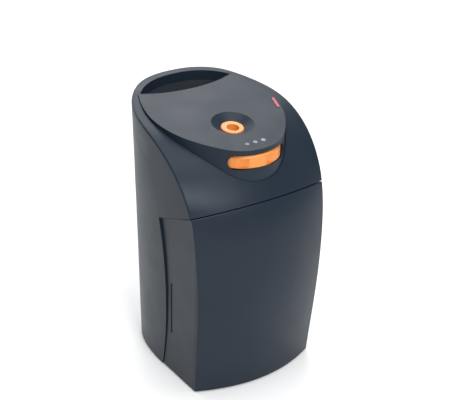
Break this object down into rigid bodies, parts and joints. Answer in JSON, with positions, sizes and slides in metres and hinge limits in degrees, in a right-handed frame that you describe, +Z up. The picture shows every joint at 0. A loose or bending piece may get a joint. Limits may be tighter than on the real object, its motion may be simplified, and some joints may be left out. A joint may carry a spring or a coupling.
{
  "type": "desk pencil sharpener",
  "caption": "Upright motor-driven desk pencil sharpener with a sloping deck port, point selector wheel, rear pencil cup and front shavings drawer.",
  "frame": {"origin": "on the desk, under the middle of the object's box", "axes": "+Z up; the drawer and the point selector face -Y; the pencil cup is at +Y; the object is mirror-symmetric about X = 0 outside"},
  "size_m": [0.1106, 0.1296, 0.1936],
  "materials": {
    "housing": "fine spark-eroded grain, satin",
    "drawer_plastic": "fine grain, satin",
    "cup_plastic": "smooth satin",
    "inner_plastic": "moulded",
    "gear_plastic": "natural acetal",
    "base_plastic": "moulded",
    "bin_plastic": "smooth",
    "orange": "semi-gloss",
    "mark_grey": "print-smooth",
    "lamp_red": "clear lens",
    "steel": "turned",
    "cutter_steel": "ground",
    "plate_steel": "zinc plated sheet",
    "motor_can": "drawn, plated",
    "brass": "turned",
    "zinc": "die-cast",
    "magnet": "ferrite",
    "rubber": "matt",
    "board_green": "solder mask",
    "component": "moulded",
    "inlet_black": "moulded"
  },
  "bodies": {
    "housing": {"rear_column": "housing", "upper_cover": "housing", "deck_cap": "housing", "pencil_cup": "cup_plastic", "point_marks": "mark_grey", "indicator_lens": "lamp_red", "pencil_guide": "orange", "dial_retainer": "inner_plastic", "idler_axle": "steel", "ring_gear": "gear_plastic", "gear_frame": "inner_plastic", "carrier_bearing": "brass", "motor_plate": "plate_steel", "frame_posts": "steel", "frame_screws": "steel", "base_screws": "steel", "motor": "motor_can", "motor_screws": "steel", "chassis": "inner_plastic", "catch_magnet": "magnet", "base_plate": "base_plastic", "rubber_feet": "rubber", "power_board": "board_green", "board_parts": "component", "power_inlet": "inlet_black", "start_switch": "component", "lever_pin": "steel", "interlock_switch": "component", "indicator_led": "lamp_red"},
    "drawer": {"drawer_front": "drawer_plastic", "shavings_bin": "bin_plastic", "bin_screws": "steel", "keeper_plate": "plate_steel"},
    "carrier": {"cutter_carrier": "zinc", "carrier_gear": "gear_plastic", "cutter_axle": "steel"},
    "cutter": {"helical_cutter": "cutter_steel", "cutter_pinion": "steel"},
    "idler": {"idler_gear": "gear_plastic"},
    "rotor": {"motor_shaft": "steel", "motor_pinion": "brass"},
    "dial": {"selector_dial": "orange"},
    "stop": {"depth_stop": "steel"},
    "lever": {"start_lever": "gear_plastic"},
    "plunger": {"interlock_plunger": "gear_plastic"}
  },
  "joints": [
    {"name": "drawer_slide", "type": "slide", "parent": "housing", "child": "drawer", "axis": [0, -1, 0], "range_m": [0, 0.055]},
    {"name": "dial_turn", "type": "hinge", "parent": "housing", "child": "dial", "pos_m": [0, -0.0259, 0.166], "axis": [0, 0, 1], "range_deg": [-24, 24]},
    {"name": "stop_slide", "type": "slide", "parent": "housing", "child": "stop", "axis": [0, 0, 1], "range_m": [-0.0006, 0.0006]},
    {"name": "carrier_spin", "type": "hinge", "parent": "housing", "child": "carrier", "pos_m": [0, -0.0171, 0.1], "axis": [0, 0, 1], "continuous": true},
    {"name": "idler_spin", "type": "hinge", "parent": "housing", "child": "idler", "pos_m": [0.00901, 0.00341, 0.1], "axis": [0, 0, 1], "continuous": true},
    {"name": "rotor_spin", "type": "hinge", "parent": "housing", "child": "rotor", "pos_m": [0, 0.0154, 0.1], "axis": [0, 0, 1], "continuous": true},
    {"name": "cutter_spin", "type": "hinge", "parent": "carrier", "child": "cutter", "pos_m": [0, -0.0171, 0.0979], "axis": [0, -0.1908, 0.9816], "continuous": true},
    {"name": "lever_swing", "type": "hinge", "parent": "housing", "child": "lever", "pos_m": [-0.0145, -0.0071, 0.155], "axis": [0, 0, -1], "range_deg": [0, 6], "stiffness_Nm_per_rad": 0.002, "springref_deg": -11.46},
    {"name": "plunger_slide", "type": "slide", "parent": "housing", "child": "plunger", "axis": [0, -1, 0], "range_m": [0, 0.0015]}
  ],
  "couplings": [
    {"joint": "stop_slide", "follows": "dial_turn", "m_per_rad": 0.00143},
    {"joint": "idler_spin", "follows": "carrier_spin", "ratio": -3.6667},
    {"joint": "rotor_spin", "follows": "carrier_spin", "ratio": 14.667},
    {"joint": "cutter_spin", "follows": "carrier_spin", "ratio": -3.2},
    {"joint": "plunger_slide", "follows": "drawer_slide", "ratio": 0.027273}
  ]
}
